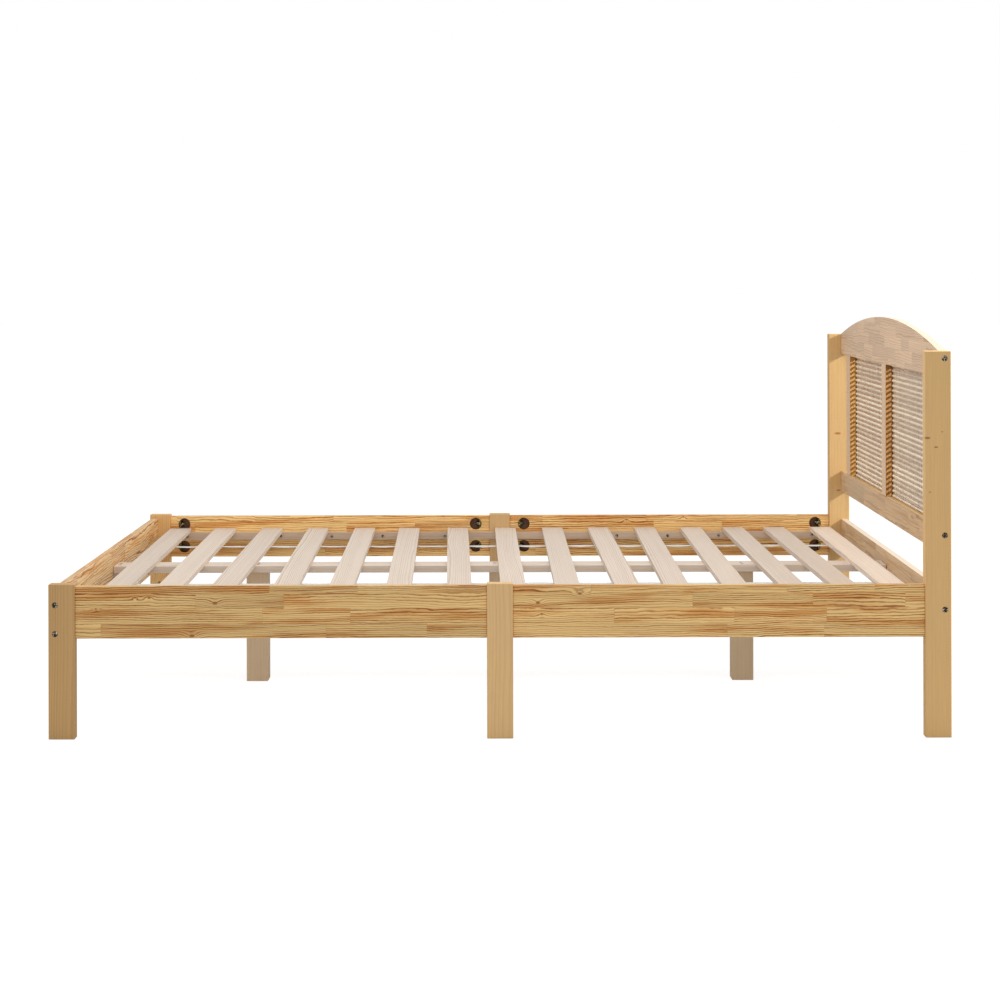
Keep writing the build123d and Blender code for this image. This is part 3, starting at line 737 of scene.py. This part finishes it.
def woven_panel(side_name):
    """The cane mat of one opening."""
    low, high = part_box("rattan_panel_" + side_name)
    middle_x = (low.x + high.x) / 2
    pile, tags = Pile(), []

    def lay(rows, tint):
        pile.rows(rows)
        tags.append(np.full(rows.shape[0] * rows.shape[1], tint))

    first, last = low.z + RIM + RIB_RADIUS, high.z - RIM - RIB_RADIUS
    ribs = round((last - first) / RIB_PITCH)
    pitch = (last - first) / ribs
    uprights = int((high.y - low.y - 4 * MM) / UPRIGHT_PITCH)
    places = low.y + 2 * MM + np.arange(uprights + 1) * UPRIGHT_PITCH
    level = np.append(np.arange(low.y, high.y, UPRIGHT_PITCH / 3), high.y)
    open_level = squeeze(level, low.y, high.y)
    waves = []
    for row in range(ribs + 1):
        wave = np.cumsum([chance.gauss(0, 1) for _ in level])
        wave = (wave - np.linspace(wave[0], wave[-1], len(level))) * 0.035 * MM
        bead = 1 + 0.07 * np.cos((level - places[0]) / UPRIGHT_PITCH * 2 * np.pi)
        thick = (FLAT_HALF + (RIB_RADIUS - FLAT_HALF) * open_level) * bead
        path = np.stack([middle_x - RIB_FORWARD * open_level, level, first + pitch * row + wave], -1)
        # The ribs take the pale end of the tints: partly their own tint, partly a painted highlight.
        lay(strand(path, RIB_RADIUS * bead, thick, (0, 0, 1)), chance.uniform(0.0, 0.35))
        waves.append(np.interp(places, level, wave))
    rise = np.append(np.arange(low.z, high.z, pitch / 1.5), high.z)
    open_rise = squeeze(rise, low.z, high.z)
    for k, place in enumerate(places):
        inside = squeeze(np.array([place]), low.y, high.y)
        sway = 0.35 * MM * np.sin(rise * 37 + k * 1.7)
        path = np.stack([middle_x + UPRIGHT_BACK * open_rise * inside, place + sway, rise], -1)
        # The uprights take the dark end of the tints: partly their own tint, partly painted shade between the ribs.
        lay(strand(path, 1.15 * MM, 0.5 * MM, (0, 1, 0), 6, 0.6), chance.uniform(0.55, 1.0))
        if k % 2 or inside < 1:
            continue
        bow = np.linspace(-0.62, 0.62, 6) * np.pi
        for row in range(ribs + 1):
            centre = np.array([middle_x - RIB_FORWARD, place, first + pitch * row + waves[row][k]])
            around = TIE_RADIUS * np.stack([-np.cos(bow), 0 * bow, np.sin(bow)], -1)
            lay(strand(centre + around, 0.7 * MM, 0.3 * MM, (0, 1, 0), 4), chance.uniform(0.2, 0.6))
    piece = pile.piece("woven_panel_" + side_name, rattan_look, "rattan", "rattan_panel_" + side_name, smooth=50)
    mark = piece.data.attributes.new("strand", "FLOAT", "POINT")
    mark.data.foreach_set("value", np.concatenate(tags).astype(np.float32))
    print(piece.name, ribs + 1, "ribs", uprights + 1, "uprights", len(piece.data.polygons), "faces")


for side_name in ("left", "right"):
    woven_panel(side_name)

# %% [markdown]
# ## Steel
# The fixings are zinc-plated steel, a little cloudy. Dark and bright patches in its colour are painted reflections.
# The half-moon washers are plated in yellow zinc, with the same painted reflections.

# %% Steel material
steel, tree, shader = new_material("zinc plated steel")
here = add(tree, "TexCoord").outputs["Object"]
cloud = noise(tree, here, 240.0, 4.0, 0.65)
scratch = noise(tree, scale_axes(tree, here, 200.0, 1500.0, 1500.0), 1.0, 2.0)
# The cloudy ramp runs from dark to bright: painted reflections over a little real cloudiness of the plating.
plating_and_painted_reflections = ramp(tree, cloud, (0.40, paint(54, 47, 38)), (0.53, paint(112, 102, 86)), (0.60, paint(236, 232, 222)))
feed(tree, shader.inputs["Base Color"], plating_and_painted_reflections)
shader.inputs["Metallic"].default_value = 1.0
feed(tree, shader.inputs["Roughness"], calc(tree, "MULTIPLY_ADD", calc(tree, "MULTIPLY", cloud, scratch), 0.5, 0.2))
brassy = steel.copy()
brassy.name = "yellow zinc plated steel"
stops = next(n for n in brassy.node_tree.nodes if n.type == "VALTORGB").color_ramp.elements
# The same painted reflections, in yellow zinc.
for stop, shade in zip(stops, ((70, 62, 34), (122, 112, 58), (206, 196, 128))):
    stop.color = paint(*shade)
for node, look in (("half_moon_washers", brassy), ("barrel_nuts", steel)):
    nodes[node].data.materials.clear()
    nodes[node].data.materials.append(look)
print(brassy.name, "is on the washers, and", steel.name, "on the barrel nuts")

# %% [markdown]
# A lathe makes round things, so the fixings are turned here too: a profile, which is a list of distances and radii,
# is spun round an axis. A radius that changes on the way round cuts a hexagon, a cross or a screw thread.

# %% Turned shapes
AROUND = 36
TURN = np.arange(AROUND) * 2 * np.pi / AROUND
THREAD_PITCH, THREAD_DEPTH = 1.25 * MM, 0.45 * MM


def hexagon(flats):
    """The radius of a hexagon, all the way round."""
    return flats / 2 / np.cos((TURN + np.pi / 6) % (np.pi / 3) - np.pi / 6)


def cross_slot(arm, width):
    """The radius of a cross-shaped slot."""
    lean = (TURN + np.pi / 4) % (np.pi / 2) - np.pi / 4
    return np.where(abs(np.tan(lean)) < width / arm, arm / np.cos(lean), width / np.maximum(abs(np.sin(lean)), 1e-6))


def turned(profile, at, towards):
    """Outlines of a profile, a list of (distance, radius), spun round the line from a point in a direction."""
    towards = Vector(towards).normalized()
    frame_turn = np.array(towards.to_track_quat("Z", "Y").to_matrix())
    rows = []
    for distance, radius in profile:
        radius = np.broadcast_to(np.asarray(radius, float), TURN.shape)
        flat = np.stack([radius * np.cos(TURN), radius * np.sin(TURN), np.full_like(TURN, distance)], -1)
        rows.append(flat @ frame_turn.T + np.array(at))
    return np.array(rows)


def thread(start, end, radius):
    """Part of a profile with a screw thread cut in it."""
    places = np.linspace(start, end, int(abs(end - start) / THREAD_PITCH * 5))
    saw = [abs((place / THREAD_PITCH - TURN / (2 * np.pi)) % 1 * 2 - 1) for place in places]
    return [(place, radius - THREAD_DEPTH * wave) for place, wave in zip(places, saw)]


def islands(node):
    """The boxes of the separate solids in one node, as (lowest corner, highest corner)."""
    shape = bmesh.new()
    shape.from_mesh(nodes[node].data)
    bmesh.ops.remove_doubles(shape, verts=shape.verts, dist=1e-6)
    left, found = set(shape.verts), []
    while left:
        todo, group = [left.pop()], []
        while todo:
            vert = todo.pop()
            group.append(vert.co.copy())
            for edge in vert.link_edges:
                other = edge.other_vert(vert)
                if other in left:
                    left.remove(other)
                    todo.append(other)
        group = np.array(group)
        found.append((Vector(group.min(0)), Vector(group.max(0))))
    shape.free()
    return sorted(found, key=lambda box: tuple(box[0]))


print("bolts, nuts and washers:", {n: len(islands(n)) for n in ("side_rail_bolts", "frame_cross_bolts", "hex_nuts")})

# %% [markdown]
# A furniture bolt has a round head with a hexagon socket for the key, a plain shank, and a thread at its far end.
# Its head sits at the bottom of a counterbore in the post. The studs of the middle legs are threaded at both
# ends. Each nut is a hexagon with its corners taken off, and shows a little thread beyond it.

# %% Bolts, studs and nuts
def bolt_profile(length):
    """A socket-head bolt, from the middle of its socket to its tip."""
    head, head_height, shank, threaded = 6.5 * MM, 8 * MM, 4 * MM, 24 * MM
    socket = hexagon(6 * MM)
    return [
        (4.0 * MM, 0.0), (3.9 * MM, socket * 0.98), (0.35 * MM, socket), (0.0, socket * 1.08),
        (0.0, head - 1.0 * MM), (0.3 * MM, head - 0.35 * MM), (1.0 * MM, head), (head_height - 0.3 * MM, head),
        (head_height, head - 0.3 * MM), (head_height, shank), (length - threaded, shank),
        *thread(length - threaded, length - 1.0 * MM, shank), (length, shank - 1.0 * MM), (length, 0.0),
    ]


def stud_profile(length):
    """A stud with a thread at each end."""
    threaded, radius, tip = 40 * MM, 4 * MM, 3 * MM
    return [(0, 0), (0, tip), *thread(1 * MM, threaded, radius),
            *thread(length - threaded, length - 1 * MM, radius), (length, tip), (length, 0)]


def nut_profile(thick):
    """A hexagon nut with blunted corners. It is open in the middle, and its profile closes on itself."""
    flats = hexagon(13 * MM)
    blunt, hole, mouth = np.minimum(flats, 6.75 * MM), 4.05 * MM, 4.5 * MM
    return [(0.3 * MM, hole), (0, mouth), (0, blunt), (0.45 * MM, flats), (thick - 0.45 * MM, flats),
            (thick, blunt), (thick, mouth), (thick - 0.3 * MM, hole), (0.3 * MM, hole)]


def turn_each(node, axis, profile_of, start):
    """Turns a shape in the place of each solid of a node. It starts at the low, the high or the outer end."""
    pile = Pile()
    for low, high in islands(node):
        from_high = start == "high" or (start == "outer" and low[axis] + high[axis] > 0)
        at = (low + high) / 2
        at[axis] = (high if from_high else low)[axis]
        towards = [0, 0, 0]
        towards[axis] = -1 if from_high else 1
        pile.rows(turned(profile_of(high[axis] - low[axis]), at, towards), capped=False)
    pile.piece(node + "_turned", steel, "steel", node)
    print(node, "are turned, with", pile.count, "points")


turn_each("side_rail_bolts", 0, bolt_profile, "outer")
turn_each("frame_cross_bolts", 1, bolt_profile, "outer")
turn_each("headboard_bolts", 1, bolt_profile, "outer")
turn_each("middle_leg_studs", 0, stud_profile, "low")
turn_each("hex_nuts", 0, nut_profile, "low")

# %% [markdown]
# ## Wood screws
# The beam's screws are countersunk, so their heads lie level with its top. The screws of the cleats have pan heads
# that stand a little proud. All have a cross slot.

# %% Screws
def screw_profile(head, head_height, shank, length, countersunk):
    """A cross-slot wood screw, from the bottom of its slot to its point."""
    slot = cross_slot(head * 0.62, head * 0.16)
    top = [(1.5 * MM, 0.0), (1.2 * MM, slot * 0.55), (0.0, slot), (0.0, head * 0.7)]
    if countersunk:
        body = [(0.0, head), (head_height, shank)]
    else:
        body = [(0.35 * MM, head * 0.93), (head_height * 0.6, head), (head_height, head * 0.97), (head_height, shank)]
    return top + body + [(length * 0.8, shank), (length, 0.0)]


turn_each("beam_screws", 2, lambda length: screw_profile(5 * MM, 2.9 * MM, 2.3 * MM, length, True), "high")

CLEAT_SCREWS = (162, 345, 495, 645, 800, 920)  # in mm from the middle of the bed
pile = Pile()
cleat_low, cleat_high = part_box("slat_cleat_right_head")
for side in (-1, 1):
    for end in (-1, 1):
        for place in CLEAT_SCREWS:
            height = (cleat_low.z + cleat_high.z) / 2 + chance.uniform(-1, 1) * MM
            at = (end * place * MM, side * (-cleat_high.y - 1.6 * MM), height)
            pile.rows(turned(screw_profile(4 * MM, 1.6 * MM, 2 * MM, 30 * MM, False), at, (0, side, 0)), capped=False)
pile.piece("cleat_screws", steel, "steel")
print("cleat screws:", 4 * len(CLEAT_SCREWS))

# %% [markdown]
# ## Slat straps
# Two white webbing tapes run under the slats and keep them apart. Webbing is woven flat: thick threads run along
# it, with fine ones across. It goes straight under each slat and hangs a little slack in between.

# %% Webbing material
WARP_PITCH, WEFT_PITCH = 1.1 * MM, 1.6 * MM
webbing, tree, shader = new_material("white webbing")
place = add(tree, "TexCoord").outputs["Object"]
here = add(tree, "SeparateXYZ", place).outputs
warp = calc(tree, "SINE", calc(tree, "MULTIPLY", here[1], 2 * math.pi / WARP_PITCH))
weft = calc(tree, "SINE", calc(tree, "MULTIPLY", here[0], 2 * math.pi / WEFT_PITCH))
weave = calc(tree, "MULTIPLY_ADD", calc(tree, "MULTIPLY", warp, weft), 0.5, 0.5)
soil = noise(tree, place, 60.0, 3.0)
# The weave darkens the colour in the low places between the threads, which is painted shade. The soil noise is light
# dirt.
shade = calc(tree, "MULTIPLY_ADD", weave, 0.22, calc(tree, "MULTIPLY_ADD", soil, 0.12, 0.76))
feed(tree, shader.inputs["Base Color"], shade_colour(tree, paint(238, 236, 231)[:3], shade))
shader.inputs["Roughness"].default_value = 0.9
shader.inputs["Sheen Weight"].default_value = 0.3
raise_bumps(tree, shader, weave, 0.4 * MM)
print(webbing.name, "has a weave of", WARP_PITCH / MM, "by", WEFT_PITCH / MM, "mm")

# %% [markdown]
# In each bay the tape sags and twists by its own small amount. Two staples pin it to each slat.

# %% Straps and staples
SLAT_HALF, MARGIN = 30 * MM, 2 * MM
TAPE_WIDE, TAPE_THICK = 9.9 * MM, 0.5 * MM  # half its width and half its thickness
STAPLE_WIDE, STAPLE_LEG, WIRE = 5 * MM, 3 * MM, 0.35 * MM
for side_name in ("left", "right"):
    low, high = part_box("slat_strap_" + side_name)
    middle, top = (low.y + high.y) / 2, high.z - 0.55 * MM
    centres = [slat_line(n, middle) for n in members("deck")]
    line = [(low.x + 0.2 * MM, top, 0.0)]
    for here, there in zip(centres, centres[1:]):
        sag, twist = chance.uniform(0.2, 1.3) * MM, math.radians(chance.uniform(2, 11))
        line += [(here, top, 0.0), (here + SLAT_HALF - MARGIN, top, 0.0)]
        for step in np.linspace(0, 1, 13):
            bow = math.sin(math.pi * step)
            x = here + SLAT_HALF + (there - here - 2 * SLAT_HALF) * step
            line.append((x, top - sag * bow, twist * bow))
        line.append((there - SLAT_HALF + MARGIN, top, 0.0))
    line.append((high.x - 0.2 * MM, top, 0.0))
    path = [(x, middle + 0.4 * MM * math.sin(x * 9), z) for x, z, _ in line]
    turn = np.array([t for _, _, t in line])
    tape, pins = Pile(), Pile()
    tape.rows(strand(path, TAPE_WIDE, TAPE_THICK, np.stack([0 * turn, np.cos(turn), np.sin(turn)], -1), 12, 0.35))
    tape.piece("webbing_strap_" + side_name, webbing, "webbing", "slat_strap_" + side_name)
    z = high.z - 1.1 * MM
    for centre in centres:
        for offset in (-14, 13):
            x = centre + (offset + chance.uniform(-3, 3)) * MM
            crown = [(x, middle + y, z + rise) for y, rise in (
                (-STAPLE_WIDE, STAPLE_LEG), (-STAPLE_WIDE, 0), (STAPLE_WIDE, 0), (STAPLE_WIDE, STAPLE_LEG))]
            pins.rows(strand(crown, WIRE, WIRE, (1, 0, 0), 6))
    pins.piece("strap_staples_" + side_name, steel, "steel")
print("straps and staples:", len(members("deck")), "slats")

# %% [markdown]
# ## Battens and dowels
# The battens that press the mat are thin strips of the same pale pine. The dowels never show, but they are
# beech, so they get a plain close-grained wood.

# %% Battens and dowels
for node in ("panel_battens_left", "panel_battens_right"):
    piece = new_piece(node + "_eased", eased_board(node, 0.0006), finishes["head_z"], "headboard_board", node)
    mark_board(piece, node, "Z")
beech = pine("beech dowel", "Y", pale=(222, 190, 150), dark=(196, 158, 116), ring=0.0015, waver=0.001, contrast=0.3)
nodes["rail_dowels"].data.materials.clear()
nodes["rail_dowels"].data.materials.append(beech)
print("battens and dowels are finished")

# %% [markdown]
# ## Floor, light and background
# The floor is a plain pale studio floor that runs far past the picture. The camera sees it as white, as in a
# catalogue, but it keeps a faint shadow under the bed.

# %% Floor
FLOOR_REACH = 40
floor_mesh = bpy.data.meshes.new("floor")
floor_mesh.from_pydata([(x * FLOOR_REACH, y * FLOOR_REACH, 0) for x, y in ((-1, -1), (1, -1), (1, 1), (-1, 1))],
                       [], [(0, 1, 2, 3)])
floor = bpy.data.objects.new("floor", floor_mesh)
scene.collection.objects.link(floor)
floor_look, tree, shader = new_material("studio floor")
tree.nodes.remove(shader)
output = tree.nodes["Material Output"]
path = add(tree, "LightPath").outputs
matte = add(tree, "BsdfDiffuse", (0.8, 0.8, 0.79, 1))
seen_matte = add(tree, "BsdfDiffuse", (0.28, 0.28, 0.28, 1))
seen_glow = add(tree, "Emission", (1, 1, 1, 1), 0.86)
seen = add(tree, "AddShader", seen_matte.outputs[0], seen_glow.outputs[0])
by_camera = calc(tree, "MAXIMUM", path["Is Camera Ray"], path["Is Transmission Ray"])
feed(tree, output.inputs["Surface"], add(tree, "MixShader", by_camera, matte.outputs[0], seen.outputs[0]).outputs[0])
floor_mesh.materials.append(floor_look)
print("floor reaches", FLOOR_REACH, "m each way")

# %% [markdown]
# The light is a bright even room and five lamps. A broad one hangs over the bed and lights everything. Each of the
# others lights only some pieces, which is called light linking. The raking lamp stands beyond the headboard and
# skims its boards and its cane. The stripe lamp shines through the cane onto the upright boards, and is long in the
# direction of the ribs, so that the shadows of the ribs stay sharp there and those of the upright strands blur. The
# deck lamp lights the rest of the bed, and the edge lamp the slats. No single set of lamps gave all the tones of
# the picture.

# %% Room light and lamps
world = bpy.data.worlds.new("studio")
scene.world = world
world.use_nodes = True
tree = world.node_tree
room = add(tree, "Background", (1.0, 0.985, 0.96, 1), 0.72)
white = add(tree, "Background", (1, 1, 1, 1), 1.0)
path = add(tree, "LightPath").outputs
direct = calc(tree, "MAXIMUM", path["Is Camera Ray"], path["Is Transmission Ray"])
sky = add(tree, "MixShader", direct, room.outputs[0], white.outputs[0])
feed(tree, tree.nodes["World Output"].inputs["Surface"], sky.outputs[0])


def lamp(name, at, aim, wide, deep, watts, tint):
    """A soft rectangular lamp that faces a point."""
    light = bpy.data.lights.new(name, "AREA")
    light.shape = "RECTANGLE"
    light.size, light.size_y = wide, deep
    light.energy = watts
    light.color = tint
    piece = bpy.data.objects.new(name, light)
    piece.location = at
    piece.rotation_euler = (Vector(aim) - Vector(at)).to_track_quat("-Z", "Y").to_euler()
    scene.collection.objects.link(piece)
    return piece


def only_on(lamp_piece, wanted):
    """Lets a lamp light only the pieces whose names pass a test."""
    group = bpy.data.collections.new(lamp_piece.name + " receivers")
    for piece in scene.objects:
        if piece.type == "MESH" and piece is not floor and wanted(piece.name):
            group.objects.link(piece)
    lamp_piece.light_linking.receiver_collection = group
    return len(group.objects)


def at_head(name):
    """Whether a piece is part of the headboard or of a head post."""
    return name.startswith(("head", "woven", "panel"))


def upright(name):
    """Whether a piece is one of the upright boards beside the rattan."""
    return "stile" in name or "mullion" in name


BEHIND, AIM = (4.4, -0.6, 2.5), (1.0, 0.1, 0.6)
lamp("top lamp", (0.0, -0.45, 2.05), (0.0, -0.10, 0.3), 2.4, 0.5, 15, (1.0, 0.99, 0.97))
raking = lamp("raking lamp", BEHIND, AIM, 0.45, 0.45, 250, (1.0, 1.0, 0.99))
deck = lamp("deck lamp", BEHIND, AIM, 0.45, 0.45, 32, (0.96, 1.0, 1.0))
edge = lamp("edge lamp", (5.0, 0.0, 1.1), (0.0, 0.0, 0.3), 0.5, 0.5, 35, (1.0, 0.97, 0.92))
stripes = lamp("stripe lamp", (3.6, -2.6, 2.3), (1.0, -2.6, 0.6), 1.6, 0.12, 760, (1.0, 0.97, 0.88))
print("pieces that each lamp lights:", only_on(raking, lambda name: at_head(name) and not upright(name)),
      only_on(deck, lambda name: not at_head(name)), only_on(stripes, upright),
      only_on(edge, lambda name: name.startswith("slat_")))
edge.light_linking.blocker_collection = edge.light_linking.receiver_collection
scene.view_settings.view_transform = "Standard"
